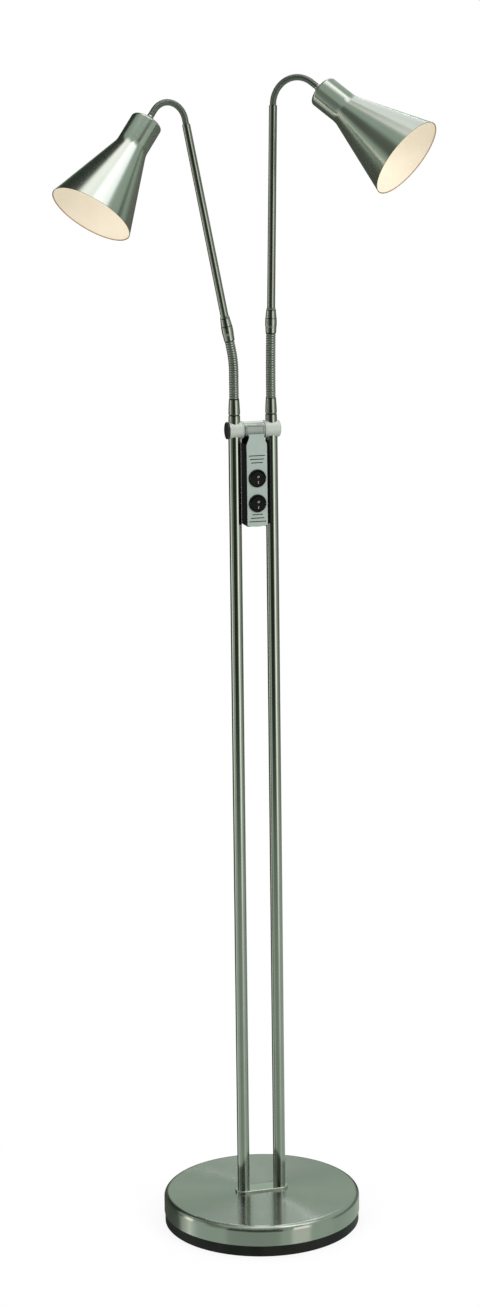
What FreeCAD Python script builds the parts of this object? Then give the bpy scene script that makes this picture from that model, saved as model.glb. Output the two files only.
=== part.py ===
"""Two-head reading floor lamp: weighted round base, twin poles, a cross bar with a switch
housing, and two gooseneck arms that each end in a hooked flexible neck and a flared shade.

Millimetres, +Z up, front towards -Y. The origin is the centre of the base's underside.
"""
import FreeCAD, Part
import math
import os
from FreeCAD import Vector as V

# ---------------------------------------------------------------- driving dimensions
BASE_R = 125.0            # round base
BASE_H = 38.6
BASE_EDGE_R = 6.7         # rounded top edge of the cover
SEAM_Z = 13.9             # cover ends here, the black foot ring shows below
COVER_WALL = 1.5
FOOT_R = 124.0
FOOT_WALL = 5.0
FOOT_LEDGE_H = 8.0        # upstand of the foot ring inside the cover
PAD_T = 2.0               # foam pad under the base
CLOSING_PLATE_T = 1.5
DISC_GAP = 0.2            # pad and plate sit loosely inside the foot ring
WEIGHT_R = 112.0
WEIGHT_Z = (6.0, 28.0)
WEIGHT_HUB_R = 40.0       # the middle of the weight reaches up to the cover
STANDOFF_R = 6.0
STANDOFF_CIRCLE_R = 90.0

NIPPLE_R = 5.0            # threaded tubes that clamp the poles and carry the arms
NIPPLE_BORE_R = 3.4
NIPPLE_Z = (9.0, 64.6)
BUSH_H = 22.0
NUT_R = 8.0
NUT_H = 5.0
NUT_TOP_Z = 16.0
WASHER_T = 1.5
INLET_R = 4.2             # hole for the cord's grommet, at the back of the foot ring
INLET_Z = 9.6
CORD_R = 3.2

POLE_R = 7.75
POLE_WALL = 1.2
POLE_X = 23.8             # each pole stands this far from the middle
FLANGE_R = 10.8
FLANGE_T = 3.0

BAR_Z = 1022.3            # axis of the cross bar
BAR_HALF = 34.3
COLLAR_R = 10.8
COLLAR_INNER_X = 13.5     # inner end of each collar
COLLAR_LIP = 0.35         # raised bead at the inner end
COLLAR_EDGE = {"left": 0.5, "right": 2.6}  # rounding of the outer end
SLEEVE_R = 10.3
CORE_R = 8.8
CORE_WALL = 1.4
CAP_T = 1.2

PLATE_Y = -17.0           # front face of the switch plate
PLATE_T = 1.6
PLATE_HALF = 13.0
NECK_HALF = 9.7
NECK_TOP_Z = 1018.0
SHOULDER_Z = (1005.2, 1013.5)
PLATE_BOTTOM_Z = 904.4
PLATE_BELLY = 1.9
HOUSING_HALF = 12.6
HOUSING_BACK_Y = 13.0
HOUSING_WALL = 2.0
HOUSING_DROP = 1.6        # the box reaches a little below the plate's corners
HANGER_Y = (6.0, 11.5)    # the web at its back that grips the sleeve from behind
HANGER_INSET = 0.6
WIRE_WAY_R = 1.8
GROOVES_ABOVE = ((991.5, 10.4), (987.1, 8.9), (982.7, 7.6))
GROOVES_BELOW = ((917.8, 6.8), (913.3, 8.7), (909.0, 10.8))
GROOVE_W = 1.3
GROOVE_D = 0.9
SCREW_R = 1.4
SCREW_HEAD_R = 2.6
SCREW_INSET = 12.0        # from the housing's top and bottom

SWITCH_Z = {"upper": 963.3, "lower": 931.9}
BEZEL_R = 11.2
BEZEL_T = 1.9
SWITCH_HOLE_R = 10.0
SWITCH_BORE_R = 9.55
ROCKER_R = 9.0
ROCKER_REST_DEG = 9.0     # the rocker rests pressed in at its lower half
PIN_R = 1.0
PIN_CLEARANCE = 0.06

RING_Z = (1031.7, 1041.8)
RING_R = 7.3
LOWER_FERRULE_H = 19.7
NECK_R = 6.05             # ribbed gooseneck
NECK_BORE_R = 3.2
NECK_PITCH = 3.0
NECK_RIB_DEPTH = 0.55
NECK_END_RUN = 12.1       # straight stretch at the upper end of a neck
NECK_BORE_STEP = 4.0
RIB_PROFILE = ((0.0, 1.0), (0.22, 0.0), (0.62, 0.0), (0.84, 1.0))  # share of pitch, of depth
UPPER_FERRULE_H = 31.4
TUBE_R = 5.0
TUBE_WALL = 0.9
HOOK_R = 4.0              # thin ribbed neck that hooks over into the shade
HOOK_BORE_R = 1.9
HOOK_PITCH = 1.7
HOOK_RIB_DEPTH = 0.35
HOOK_TUCK = 8.0           # length of the hook held inside the arm tube
HOOK_FERRULE_R = 4.7
HOOK_FERRULE_H = 7.5

SHADE_CUP_R = 20.1
SHADE_CUP_H = 40.4
SHADE_MOUTH_R = 53.0
SHADE_H = 140.0
SHADE_T = 0.9
SHADE_SHOULDER_R = 4.0
SHADE_WAIST_R = 30.0      # soft concave bend between cup and cone
SHADE_HOLE_R = 5.2
BULB_R = 22.0
BULB_CENTRE = 70.0

# Each arm: side, neck length, straight run before the bend, lean of the tube in degrees,
# tube length, hook (first run, bend radius, last run), and the shade's heading and droop.
ARMS = {
    "left": dict(side=-1, neck=73.0, run=33.0, lean=10.9, tube=241.0, hook=(6.3, 25.9, 16.7),
                 heading=205.5, droop=50.3),
    "right": dict(side=1, neck=80.0, run=12.2, lean=1.2, tube=250.0, hook=(1.0, 33.6, 17.3),
                  heading=-45.0, droop=35.2),
}

X, Y, Z = V(1, 0, 0), V(0, 1, 0), V(0, 0, 1)
DIAGONAL = math.sqrt(0.5)  # cosine of 45 degrees, for the middle point of quarter arcs
PARTS = {}


# ---------------------------------------------------------------- small shape makers
def rod(radius, start, axis, length):
    return Part.makeCylinder(radius, length, start, axis)


def pipe(outer, inner, start, axis, length):
    return rod(outer, start, axis, length).cut(rod(inner, start, axis, length))


def box(x0, x1, y0, y1, z0, z1):
    return Part.makeBox(x1 - x0, y1 - y0, z1 - z0, V(x0, y0, z0))


def turned(points, start=V(0, 0, 0), axis=Z):
    """Solid of revolution from (radius, height) points. An entry ((r, h), (r, h)) is an arc
    that passes through its first point and ends at its second."""
    edges = []
    here = None
    for point in list(points) + [points[0]]:
        if isinstance(point[0], tuple):
            middle, end = (V(r, 0, h) for r, h in point)
            edges.append(Part.Arc(here, middle, end).toShape())
        else:
            end = V(point[0], 0, point[1])
            if here is not None and here.distanceToPoint(end) > 1e-6:
                edges.append(Part.makeLine(here, end))
        here = end
    solid = Part.Face(Part.Wire(edges)).revolve(V(0, 0, 0), Z, 360)
    solid.Placement = FreeCAD.Placement(start, FreeCAD.Rotation(Z, axis))
    return solid


def fused(shapes):
    return shapes[0].multiFuse(shapes[1:]).removeSplitter()


def add(name, *solids):
    PARTS[name] = solids[0] if len(solids) == 1 else Part.makeCompound(list(solids))


# ---------------------------------------------------------------- base
def make_base():
    e = BASE_EDGE_R
    w = COVER_WALL
    outer_mid = (BASE_R - e + e * DIAGONAL, BASE_H - e + e * DIAGONAL)
    inner_mid = (BASE_R - e + (e - w) * DIAGONAL, BASE_H - e + (e - w) * DIAGONAL)
    cover = turned([
        (0, BASE_H - w), (0, BASE_H), (BASE_R - e, BASE_H), (outer_mid, (BASE_R, BASE_H - e)),
        (BASE_R, SEAM_Z), (BASE_R - w, SEAM_Z), (BASE_R - w, BASE_H - e),
        (inner_mid, (BASE_R - e, BASE_H - w))])
    for side in (-1, 1):
        cover = cover.cut(rod(NIPPLE_R, V(side * POLE_X, 0, 0), Z, BASE_H + 1))
    add("base_cover", cover)

    # The foot ring carries the cover on a ledge and has a shallow groove just above the floor.
    step = FOOT_R - COVER_WALL - 0.3
    ring = turned([
        (FOOT_R - FOOT_WALL, 0), (FOOT_R - 0.8, 0), (FOOT_R, 0.8), (FOOT_R, SEAM_Z),
        (step, SEAM_Z), (step, SEAM_Z + FOOT_LEDGE_H), (FOOT_R - FOOT_WALL, SEAM_Z + FOOT_LEDGE_H)])
    inlet = rod(INLET_R, V(0, FOOT_R - FOOT_WALL - 1, INLET_Z), Y, FOOT_WALL + 2)
    add("foot_ring", ring.cut(inlet))
    disc_r = FOOT_R - FOOT_WALL - DISC_GAP
    add("underside_pad", rod(disc_r, V(0, 0, 0), Z, PAD_T))
    add("bottom_plate", rod(disc_r, V(0, 0, PAD_T), Z, CLOSING_PLATE_T))

    # Cast weight between the bottom plate and the cover, with a recess round each pole nut.
    weight = turned([(0, WEIGHT_Z[0]), (WEIGHT_R - 2, WEIGHT_Z[0]), (WEIGHT_R, WEIGHT_Z[0] + 2),
                     (WEIGHT_R, WEIGHT_Z[1]), (0, WEIGHT_Z[1])])
    hub = rod(WEIGHT_HUB_R, V(0, 0, WEIGHT_Z[1]), Z, BASE_H - COVER_WALL - WEIGHT_Z[1])
    weight = fused([weight, hub])
    for side in (-1, 1):
        weight = weight.cut(rod(NIPPLE_R, V(side * POLE_X, 0, 0), Z, BASE_H))
        weight = weight.cut(rod(NUT_R + 2, V(side * POLE_X, 0, 0), Z, NUT_TOP_Z))
    add("base_weight", weight)
    supports = []
    for k in range(3):
        angle = math.radians(30 + 120 * k)
        foot = V(STANDOFF_CIRCLE_R * math.cos(angle), STANDOFF_CIRCLE_R * math.sin(angle),
                 PAD_T + CLOSING_PLATE_T)
        supports.append(rod(STANDOFF_R, foot, Z, WEIGHT_Z[0] - foot.z))
    add("weight_standoffs", *supports)

    grommet = fused([
        pipe(INLET_R, CORD_R, V(0, FOOT_R - FOOT_WALL - 2, INLET_Z), Y, FOOT_WALL + 2.4),
        pipe(INLET_R + 1.4, CORD_R, V(0, FOOT_R - FOOT_WALL - 3.5, INLET_Z), Y, 1.5)])
    add("cord_inlet_grommet", grommet)


# ---------------------------------------------------------------- poles
def obround(half, radius, z, height):
    ends = [rod(radius, V(s * half, 0, z), Z, height) for s in (-1, 1)]
    return fused(ends + [box(-half, half, -radius, radius, z, z + height)])


def make_poles():
    flange = obround(POLE_X, FLANGE_R, BASE_H, FLANGE_T)
    rim = [edge for edge in flange.Edges
           if abs(edge.CenterOfMass.z - BASE_H - FLANGE_T) < 1e-6]
    flange = flange.makeFillet(0.9, rim)
    collar = rod(COLLAR_R, V(-BAR_HALF, 0, BAR_Z), X, 2 * BAR_HALF)
    nuts, washers, nipples, bushes = [], [], [], []
    for name, side in (("left", -1), ("right", 1)):
        x = side * POLE_X
        foot = V(x, 0, BASE_H)
        flange = flange.cut(rod(POLE_R, foot, Z, FLANGE_T))
        pole = pipe(POLE_R, POLE_R - POLE_WALL, foot, Z, BAR_Z - BASE_H)
        add(name + "_pole", pole.cut(collar))
        nipples.append(pipe(NIPPLE_R, NIPPLE_BORE_R, V(x, 0, NIPPLE_Z[0]), Z,
                            NIPPLE_Z[1] - NIPPLE_Z[0]))
        bushes.append(pipe(POLE_R - POLE_WALL, NIPPLE_R, foot, Z, BUSH_H))
        washer_z = NUT_TOP_Z - WASHER_T
        washers.append(pipe(NUT_R + 1.5, NIPPLE_R, V(x, 0, washer_z), Z, WASHER_T))
        hexagon = Part.makePolygon([V(x + NUT_R * math.cos(math.radians(60 * k)),
                                      NUT_R * math.sin(math.radians(60 * k)),
                                      washer_z - NUT_H) for k in range(7)])
        nut = Part.Face(hexagon).extrude(V(0, 0, NUT_H))
        nuts.append(nut.cut(rod(NIPPLE_R, V(x, 0, 0), Z, 40)))
    add("flange_plate", flange)
    add("pole_nipples", *nipples)
    add("pole_bushes", *bushes)
    add("pole_washers", *washers)
    add("pole_nuts", *nuts)


# ---------------------------------------------------------------- cross bar
def make_cross_bar():
    holes = []
    for side in (-1, 1):
        holes.append(rod(NIPPLE_R, V(side * POLE_X, 0, BAR_Z - 14), Z, 30))
    core = pipe(CORE_R, CORE_R - CORE_WALL, V(-BAR_HALF + CAP_T, 0, BAR_Z), X,
                2 * (BAR_HALF - CAP_T))
    add("cross_tube_core", core.cut(holes[0]).cut(holes[1]))
    add("cross_tube_sleeve", pipe(SLEEVE_R, CORE_R, V(-COLLAR_INNER_X + 0.5, 0, BAR_Z), X,
                                  2 * COLLAR_INNER_X - 1))
    length = BAR_HALF - COLLAR_INNER_X
    for name, side in (("left", -1), ("right", 1)):
        start = V(side * COLLAR_INNER_X, 0, BAR_Z)
        axis = X * side
        edge = COLLAR_EDGE[name]
        round_mid = (COLLAR_R - edge + edge * DIAGONAL, length - edge + edge * DIAGONAL)
        bore = min(CORE_R, COLLAR_R - edge - 0.4)
        collar = turned([
            (CORE_R, 0), (COLLAR_R - 0.3, 0), (COLLAR_R + COLLAR_LIP, 0.8),
            (COLLAR_R + COLLAR_LIP, 1.6), (COLLAR_R, 2.2), (COLLAR_R, length - edge),
            (round_mid, (COLLAR_R - edge, length)),
            (bore, length), (bore, length - CAP_T), (CORE_R, length - CAP_T)],
            start, axis)
        add(name + "_collar", collar.cut(holes[(side + 1) // 2]))
        add(name + "_end_cap", rod(bore, V(side * (BAR_HALF - CAP_T), 0, BAR_Z), axis, CAP_T))


# ---------------------------------------------------------------- switch housing
def plate_outline(y):
    """Front plate: narrow neck, sloping shoulders, straight sides and a bellied bottom."""
    low, high = SHOULDER_Z
    right = [V(NECK_HALF, y, NECK_TOP_Z), V(NECK_HALF, y, high), V(PLATE_HALF, y, low),
             V(PLATE_HALF, y, PLATE_BOTTOM_Z)]
    left = [V(-p.x, y, p.z) for p in reversed(right)]
    belly = Part.Arc(right[-1], V(0, y, PLATE_BOTTOM_Z - PLATE_BELLY), left[0]).toShape()
    edges = [Part.makeLine(a, b) for a, b in zip(right, right[1:])]
    edges += [belly]
    edges += [Part.makeLine(a, b) for a, b in zip(left, left[1:])]
    edges += [Part.makeLine(left[-1], right[0])]
    return Part.Wire(edges)


def make_switch_housing():
    back = PLATE_Y + PLATE_T
    plate = Part.Face(plate_outline(PLATE_Y)).extrude(V(0, PLATE_T, 0))
    shelf_back = -SLEEVE_R - 0.9
    shelf = box(-NECK_HALF, NECK_HALF, back, shelf_back, NECK_TOP_Z - 1.4, NECK_TOP_Z)
    plate = fused([plate, shelf])
    for z, half in GROOVES_ABOVE + GROOVES_BELOW:
        plate = plate.cut(box(-half, half, PLATE_Y, PLATE_Y + GROOVE_D,
                              z - GROOVE_W / 2, z + GROOVE_W / 2))
    for z in SWITCH_Z.values():
        plate = plate.cut(rod(SWITCH_HOLE_R, V(0, PLATE_Y - 1, z), Y, 6))
    add("switch_front_plate", plate)

    # The saddle is a curved strip that wraps the front of the sleeve above the plate's shelf.
    saddle = pipe(SLEEVE_R + 0.9, SLEEVE_R, V(-COLLAR_INNER_X + 1.2, 0, BAR_Z), X,
                  2 * COLLAR_INNER_X - 2.4)
    keep = box(-20, 20, -20, -1, BAR_Z - 6.4, BAR_Z + 6.6)
    add("front_saddle", saddle.common(keep))

    w = HOUSING_WALL
    top = SHOULDER_Z[0]
    bottom = PLATE_BOTTOM_Z - HOUSING_DROP
    h = HOUSING_HALF
    shell = box(-h, h, back, HOUSING_BACK_Y, bottom, top)
    tall = [edge for edge in shell.Edges
            if abs(edge.CenterOfMass.y - HOUSING_BACK_Y) < 1e-6]
    shell = shell.makeFillet(2.5, tall)
    shell = shell.cut(box(-h + w, h - w, back, HOUSING_BACK_Y - w, bottom + w, top - w))
    hanger = box(-h + HANGER_INSET, h - HANGER_INSET, *HANGER_Y, top, BAR_Z)
    hanger = hanger.cut(rod(SLEEVE_R, V(-20, 0, BAR_Z), X, 40))
    wire_way = rod(WIRE_WAY_R, V(0, sum(HANGER_Y) / 2, top - 5), Z, 30)
    add("switch_housing", fused([shell, hanger]).cut(wire_way))

    screws = []
    for z in (top - SCREW_INSET, bottom + SCREW_INSET):
        shank = rod(SCREW_R, V(0, HOUSING_BACK_Y - w, z), Y, w)
        screws.append(fused([rod(SCREW_HEAD_R, V(0, HOUSING_BACK_Y, z), Y, 1.2), shank]))
        PARTS["switch_housing"] = PARTS["switch_housing"].cut(shank)
    add("housing_screws", *screws)

    block = box(-8, 8, 1.5, 9.5, 980, 992)
    for k in (-1, 0, 1):
        block = block.cut(rod(1.5, V(5 * k, 5.5, 978), Z, 16))
    add("terminal_block", block)


# ---------------------------------------------------------------- rocker switches
def make_switch(name, z):
    face = PLATE_Y - BEZEL_T
    centre = V(0, face + 1.6, z)          # pivot line of the rocker
    flange = turned([(SWITCH_BORE_R, 0), (BEZEL_R - 0.7, 0), (BEZEL_R, 0.7), (BEZEL_R, BEZEL_T),
                     (SWITCH_BORE_R, BEZEL_T)], V(0, face, z), Y)
    barrel = pipe(SWITCH_HOLE_R, SWITCH_BORE_R, V(0, PLATE_Y, z), Y, 9)
    rear = rod(SWITCH_HOLE_R, V(0, PLATE_Y + 9, z), Y, 6)
    tabs = [box(-3, 3, PLATE_Y + 15, PLATE_Y + 22, z + k * 5 - 0.4, z + k * 5 + 0.4)
            for k in (-1, 1)]
    body = fused([flange, barrel, rear] + tabs)
    pin = rod(PIN_R, V(-SWITCH_HOLE_R + 0.2, centre.y, z), X, 2 * SWITCH_HOLE_R - 0.4)
    add(name + "_switch_body", body.cut(pin))
    add(name + "_rocker_pin", pin)

    # Rocker: a round button whose front is a shallow V, tilted about the pivot at rest.
    button = rod(ROCKER_R, V(0, face - 4, z), Y, 10)
    sweep = rod(ROCKER_R + 0.25, V(-12, centre.y, z), X, 24)
    valley, horn, depth = -1.7, -3.4, 5.0
    side_view = [V(-12, centre.y + dy, z + dz) for dy, dz in (
        (horn, -ROCKER_R - 1), (valley, 0), (horn, ROCKER_R + 1), (depth, ROCKER_R + 1),
        (depth, -ROCKER_R - 1))]
    profile = Part.Face(Part.makePolygon(side_view + side_view[:1])).extrude(V(24, 0, 0))
    rocker = button.common(sweep).common(profile)
    rocker = rocker.cut(rod(PIN_R + PIN_CLEARANCE, V(-12, centre.y, z), X, 24))
    rocker.rotate(centre, X, ROCKER_REST_DEG)
    add(name + "_rocker", rocker)


# ---------------------------------------------------------------- flexible necks
# A route starts at a point in a direction and bends towards one side, all in one plane. Its
# pieces are ("run", length) and ("bend", radius, angle).
def length_of(piece):
    return piece[1] if piece[0] == "run" else piece[1] * piece[2]


def along(here, ahead, toward, piece, s):
    if piece[0] == "run":
        return here + ahead * s, ahead
    radius = piece[1]
    angle = s / radius
    point = here + ahead * (radius * math.sin(angle)) + toward * (radius * (1 - math.cos(angle)))
    return point, ahead * math.cos(angle) + toward * math.sin(angle)


def walk(start, direction, side, pieces, distance):
    here, ahead, toward = start, direction, side
    for piece in pieces:
        length = length_of(piece)
        if distance <= length + 1e-9:
            return along(here, ahead, toward, piece, distance)
        here, ahead = along(here, ahead, toward, piece, length)
        toward = direction.cross(side).cross(ahead)
        distance -= length
    return here, ahead


def ring_at(point, tangent, normal, radius):
    across = normal.cross(tangent)
    matrix = FreeCAD.Matrix(
        normal.x, across.x * -1, tangent.x, point.x,
        normal.y, across.y * -1, tangent.y, point.y,
        normal.z, across.z * -1, tangent.z, point.z, 0, 0, 0, 1)
    circle = Part.Wire([Part.makeCircle(radius)])
    circle.Placement = FreeCAD.Placement(matrix)
    return circle


def ribbed(start, direction, side, pieces, radius, bore, pitch, rib_depth):
    """Ribbed hose: four circles to each rib, ruled between them, with its bore cut out."""
    total = sum(length_of(piece) for piece in pieces)
    ribs = round(total / pitch)
    pitch = total / ribs
    normal = direction.cross(side)
    normal.normalize()
    rings = []
    for k in range(ribs):
        for share, sink in RIB_PROFILE:
            point, tangent = walk(start, direction, side, pieces, (k + share) * pitch)
            rings.append(ring_at(point, tangent, normal, radius - sink * rib_depth))
    point, tangent = walk(start, direction, side, pieces, total)
    rings.append(ring_at(point, tangent, normal, radius - rib_depth))
    hose = Part.makeLoft(rings, True, True)
    core = []
    steps = round(total / NECK_BORE_STEP)
    for k in range(steps + 1):
        point, tangent = walk(start, direction, side, pieces, total * k / steps)
        core.append(ring_at(point, tangent, normal, bore))
    return hose.cut(Part.makeLoft(core, True, True)), ribs


# ---------------------------------------------------------------- arms and shades
def make_arm(name, arm):
    side = arm["side"]
    x = side * POLE_X
    out = X * side
    collar = rod(COLLAR_R, V(-BAR_HALF, 0, BAR_Z), X, 2 * BAR_HALF)
    nipple_bore = rod(NIPPLE_R, V(x, 0, BAR_Z), Z, 60)

    base = RING_Z[0] - 4
    ring = turned([
        (0, base), (RING_R, base), (RING_R, RING_Z[1] - 1.3), (RING_R - 0.9, RING_Z[1] - 0.9),
        (RING_R - 0.9, RING_Z[1]), (0, RING_Z[1])], V(x, 0, 0))
    add(name + "_arm_ring", ring.cut(collar).cut(nipple_bore))
    nipple = pipe(NIPPLE_R, NECK_BORE_R, V(x, 0, BAR_Z - 9), Z, RING_Z[1] + 8 - BAR_Z + 9)
    add(name + "_arm_nipple", nipple)

    foot = RING_Z[1]
    top = foot + LOWER_FERRULE_H
    ferrule = turned([
        (0, foot), (RING_R - 0.5, foot), (RING_R, foot + 0.6), (RING_R - 0.2, foot + 8),
        (NECK_R + 0.35, top - 0.6), (NECK_R + 0.1, top), (0, top)], V(x, 0, 0))
    ferrule = ferrule.cut(nipple_bore.common(rod(NIPPLE_R, V(x, 0, foot), Z, 8)))
    add(name + "_lower_ferrule", ferrule.cut(rod(NECK_BORE_R, V(x, 0, foot), Z, 40)))

    # Gooseneck in two halves, so that it bends sideways in one and to the front in the other.
    lean = math.radians(arm["lean"])
    bend_length = arm["neck"] - arm["run"] - NECK_END_RUN
    radius = bend_length / lean
    start = V(x, 0, top)
    whole = [("run", arm["run"]), ("bend", radius, lean), ("run", NECK_END_RUN)]
    half = arm["neck"] / 2
    bent = half - arm["run"]
    lower = [("run", arm["run"]), ("bend", radius, bent / radius)]
    hose, count = ribbed(start, Z, out, lower, NECK_R, NECK_BORE_R, NECK_PITCH, NECK_RIB_DEPTH)
    add(name + "_gooseneck_lower", hose)
    middle, ahead = walk(start, Z, out, whole, half)
    turn = ahead.cross(out).cross(ahead)
    turn.normalize()
    upper = [("bend", radius, lean - bent / radius), ("run", NECK_END_RUN)]
    hose, more = ribbed(middle, ahead, turn, upper, NECK_R, NECK_BORE_R, NECK_PITCH,
                        NECK_RIB_DEPTH)
    add(name + "_gooseneck_upper", hose)
    tip, ahead = walk(start, Z, out, whole, arm["neck"])

    ferrule = turned([
        (TUBE_R, 0), (NECK_R + 0.3, 0), (NECK_R + 0.55, 0.5), (NECK_R + 0.75, 7),
        (RING_R - 0.1, 10), (RING_R - 0.1, 16.5), (TUBE_R + 0.9, UPPER_FERRULE_H - 2),
        (TUBE_R + 0.35, UPPER_FERRULE_H), (TUBE_R, UPPER_FERRULE_H)], tip, ahead)
    add(name + "_upper_ferrule", ferrule)

    # The arm tube starts inside the ferrule and ends where the hook leaves it.
    length = UPPER_FERRULE_H + arm["tube"] - 2
    tube = pipe(TUBE_R, TUBE_R - TUBE_WALL, tip + ahead * 2, ahead, length)
    crown = tip + ahead * (2 + length)
    add(name + "_arm_tube", tube)
    add(name + "_neck_plug", pipe(TUBE_R, NECK_BORE_R, tip, ahead, 2))

    # The hook bends in the plane of the tube and the shade's axis.
    heading, droop = math.radians(arm["heading"]), math.radians(arm["droop"])
    aim = V(math.cos(droop) * math.cos(heading), math.cos(droop) * math.sin(heading),
            -math.sin(droop))
    turn_angle = ahead.getAngle(aim)
    toward = aim - ahead * aim.dot(ahead)
    toward.normalize()
    first, hook_radius, last = arm["hook"]
    route = [("run", first + HOOK_TUCK), ("bend", hook_radius, turn_angle),
             ("run", last + HOOK_TUCK)]
    begin = crown - ahead * HOOK_TUCK
    hose, fine = ribbed(begin, ahead, toward, route, HOOK_R, HOOK_BORE_R, HOOK_PITCH,
                        HOOK_RIB_DEPTH)
    add(name + "_hook", hose)
    total = first + last + 2 * HOOK_TUCK + hook_radius * turn_angle
    end, _ = walk(begin, ahead, toward, route, total)
    cup = end - aim * HOOK_TUCK
    pivot = centre_of(begin, ahead, toward, route, HOOK_TUCK, total - HOOK_TUCK)

    make_shade(name, cup, aim)
    print(name, "ribs", count + more, fine, "| middle", middle, "| tip", tip, "| crown", crown,
          "| cup", cup, "| aim", aim, "| hook normal", ahead.cross(toward), "| pivot", pivot)


def centre_of(start, direction, side, pieces, low, high):
    """Mean of points spread evenly along a route between two distances."""
    steps = 60
    total = V(0, 0, 0)
    for k in range(steps):
        distance = low + (high - low) * (k + 0.5) / steps
        total = total + walk(start, direction, side, pieces, distance)[0]
    return total * (1.0 / steps)


def shade_profile(inset):
    """Outer (inset 0) or inner outline from the crown to the mouth as (radius, height)."""
    slope = math.atan2(SHADE_MOUTH_R - SHADE_CUP_R, SHADE_H - SHADE_CUP_H)
    shoulder = SHADE_SHOULDER_R - inset
    cup_r = SHADE_CUP_R - inset
    waist = SHADE_WAIST_R + inset
    reach = waist * math.tan(slope / 2)
    crest = SHADE_SHOULDER_R - shoulder * DIAGONAL
    start = (cup_r, SHADE_CUP_H - reach)
    centre = (cup_r + waist, SHADE_CUP_H - reach)
    half = slope / 2
    mid = (centre[0] - waist * math.cos(half), centre[1] + waist * math.sin(half))
    end = (centre[0] - waist * math.cos(slope), centre[1] + waist * math.sin(slope))
    mouth_r = end[0] + (SHADE_H - end[1]) * math.tan(slope)
    top = (SHADE_CUP_R - SHADE_SHOULDER_R, inset)
    corner = (SHADE_CUP_R - SHADE_SHOULDER_R + shoulder * DIAGONAL, crest)
    return [top, (corner, (cup_r, SHADE_SHOULDER_R)), start, (mid, end), (mouth_r, SHADE_H)]


def make_shade(name, cup, aim):
    outer = shade_profile(0)
    inner = shade_profile(SHADE_T)
    # The inner outline runs back from the mouth to the crown.
    back = [inner[4], inner[3][1], (inner[3][0], inner[2]), inner[1][1],
            (inner[1][0], inner[0]), (SHADE_HOLE_R, SHADE_T)]
    shade = turned([(SHADE_HOLE_R, 0)] + outer + back, cup, aim)
    add(name + "_shade", shade)

    # Hollow bolt, holder and retaining ring inside the cup.
    add(name + "_hook_ferrule", turned([
        (HOOK_R, -HOOK_FERRULE_H), (HOOK_R + 0.25, -HOOK_FERRULE_H), (HOOK_FERRULE_R, -6),
        (HOOK_FERRULE_R, 0), (SHADE_HOLE_R, 0), (SHADE_HOLE_R, 3.0), (HOOK_R, 3.0)], cup, aim))
    add(name + "_shade_nut", turned([
        (SHADE_HOLE_R, SHADE_T), (9.5, SHADE_T), (9.5, 3.0), (SHADE_HOLE_R, 3.0)], cup, aim))
    holder = turned([
        (HOOK_R, 3.0), (11, 3.0), (13.2, 6.5), (13.2, 40), (12.2, 42), (7.4, 42), (7.4, 16),
        (HOOK_R, 16)], cup, aim)
    add(name + "_lampholder", holder)
    bulb_seat = 44.5
    neck_r = 7.2
    meet = BULB_CENTRE - math.sqrt(BULB_R ** 2 - 11.0 ** 2)
    bulb = turned([
        (0, 16), (4, 16), (neck_r, 20), (neck_r, bulb_seat - 2), (9.5, bulb_seat),
        (11.0, meet), ((BULB_R, BULB_CENTRE), (0, BULB_CENTRE + BULB_R))], cup, aim)
    add(name + "_bulb", bulb)


# ---------------------------------------------------------------- build and write
make_base()
make_poles()
make_cross_bar()
make_switch_housing()
for switch, height in SWITCH_Z.items():
    make_switch(switch, height)
for arm_name, arm_sizes in ARMS.items():
    make_arm(arm_name, arm_sizes)

os.makedirs("parts", exist_ok=True)
for node, solid in PARTS.items():
    if not solid.isValid() or solid.Volume <= 0:
        print("CHECK", node, solid.isValid(), solid.Volume)
    solid.exportStep("parts/" + node + ".step")
print(len(PARTS), "nodes")
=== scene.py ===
"""Two-head reading floor lamp: a spun round base, twin poles, a switch housing hung from a
cross bar, and two gooseneck arms that hook over into flared shades.

Metres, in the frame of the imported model: +Z up, the switch side towards -Y.
"""
import math

import bpy
from mathutils import Matrix, Vector


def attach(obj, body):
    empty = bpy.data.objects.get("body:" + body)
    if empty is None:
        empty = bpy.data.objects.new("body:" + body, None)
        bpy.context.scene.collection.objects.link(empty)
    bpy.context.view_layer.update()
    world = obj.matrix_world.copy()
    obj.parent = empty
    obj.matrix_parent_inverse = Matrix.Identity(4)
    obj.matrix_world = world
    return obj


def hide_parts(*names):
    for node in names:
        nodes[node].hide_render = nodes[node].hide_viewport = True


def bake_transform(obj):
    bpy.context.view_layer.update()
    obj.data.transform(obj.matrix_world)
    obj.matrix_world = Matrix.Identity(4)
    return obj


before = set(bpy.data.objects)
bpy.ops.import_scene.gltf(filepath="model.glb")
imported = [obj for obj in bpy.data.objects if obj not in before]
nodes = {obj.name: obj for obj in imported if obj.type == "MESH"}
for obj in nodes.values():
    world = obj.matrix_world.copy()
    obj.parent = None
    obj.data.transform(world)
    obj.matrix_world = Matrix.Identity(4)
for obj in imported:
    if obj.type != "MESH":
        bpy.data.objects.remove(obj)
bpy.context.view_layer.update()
scene = bpy.context.scene


# ---------------------------------------------------------------- camera
# The photograph's camera stands a little left of the front at head height, looks slightly
# down, and has its frame lowered so that the lamp's poles stay nearly upright.
CAMERA_PLACE = Vector((-1.0183, -3.5514, 1.5212))
CAMERA_HEADING = math.radians(-15.757)
CAMERA_TILT = math.radians(90 - 7.2165)
CAMERA_ROLL = math.radians(-0.694)
CAMERA_LENS = 82.695
FRAME_SHIFT = -0.1901

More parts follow.
